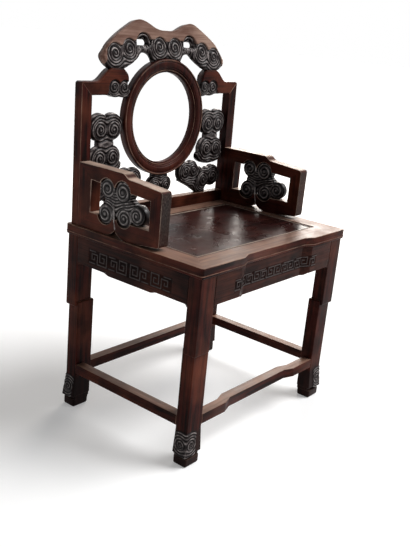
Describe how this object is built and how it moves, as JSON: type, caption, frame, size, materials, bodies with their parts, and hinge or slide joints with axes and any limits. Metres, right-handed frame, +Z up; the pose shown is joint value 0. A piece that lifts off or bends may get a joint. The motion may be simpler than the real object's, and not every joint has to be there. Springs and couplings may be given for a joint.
{
  "type": "carved rosewood armchair",
  "caption": "Square-seated carved rosewood armchair with an open roundel back, pierced cloud-scroll carvings, stepped arms, legs joined by stretchers.",
  "frame": {"origin": "on the floor, under the middle of the overall width and depth", "axes": "+Z up, -Y the way the chair faces, +X to the right of someone who looks at its front"},
  "size_m": [0.64, 0.4774, 1.0434],
  "materials": {
    "rosewood": "polished",
    "rosewood_carved": "polished",
    "rosewood_panel": "polished"
  },
  "bodies": {
    "root": {"apron_back": "rosewood", "apron_front": "rosewood", "apron_left": "rosewood", "apron_right": "rosewood", "arm_bottom_left": "rosewood", "arm_bottom_right": "rosewood", "arm_cloud_left": "rosewood_carved", "arm_cloud_right": "rosewood_carved", "arm_front_stile_left": "rosewood", "arm_front_stile_right": "rosewood", "arm_rear_stile_left": "rosewood", "arm_rear_stile_right": "rosewood", "arm_top_left": "rosewood", "arm_top_right": "rosewood", "back_rail": "rosewood", "cloud_centre": "rosewood_carved", "cloud_corner_left": "rosewood_carved", "cloud_corner_right": "rosewood_carved", "cloud_side_left": "rosewood_carved", "cloud_side_right": "rosewood_carved", "crest": "rosewood_carved", "leg_back_left": "rosewood", "leg_back_right": "rosewood", "leg_front_left": "rosewood", "leg_front_right": "rosewood", "post_left": "rosewood", "post_right": "rosewood", "roundel_left": "rosewood", "roundel_lower": "rosewood", "roundel_right": "rosewood", "roundel_upper": "rosewood", "seat_batten_left": "rosewood", "seat_batten_right": "rosewood", "seat_panel": "rosewood_panel", "seat_rail_back": "rosewood", "seat_rail_front": "rosewood", "seat_rail_left": "rosewood", "seat_rail_right": "rosewood", "shoulder_left": "rosewood_carved", "shoulder_right": "rosewood_carved", "stretcher_back": "rosewood", "stretcher_front": "rosewood", "stretcher_left": "rosewood", "stretcher_right": "rosewood"}
  },
  "joints": []
}
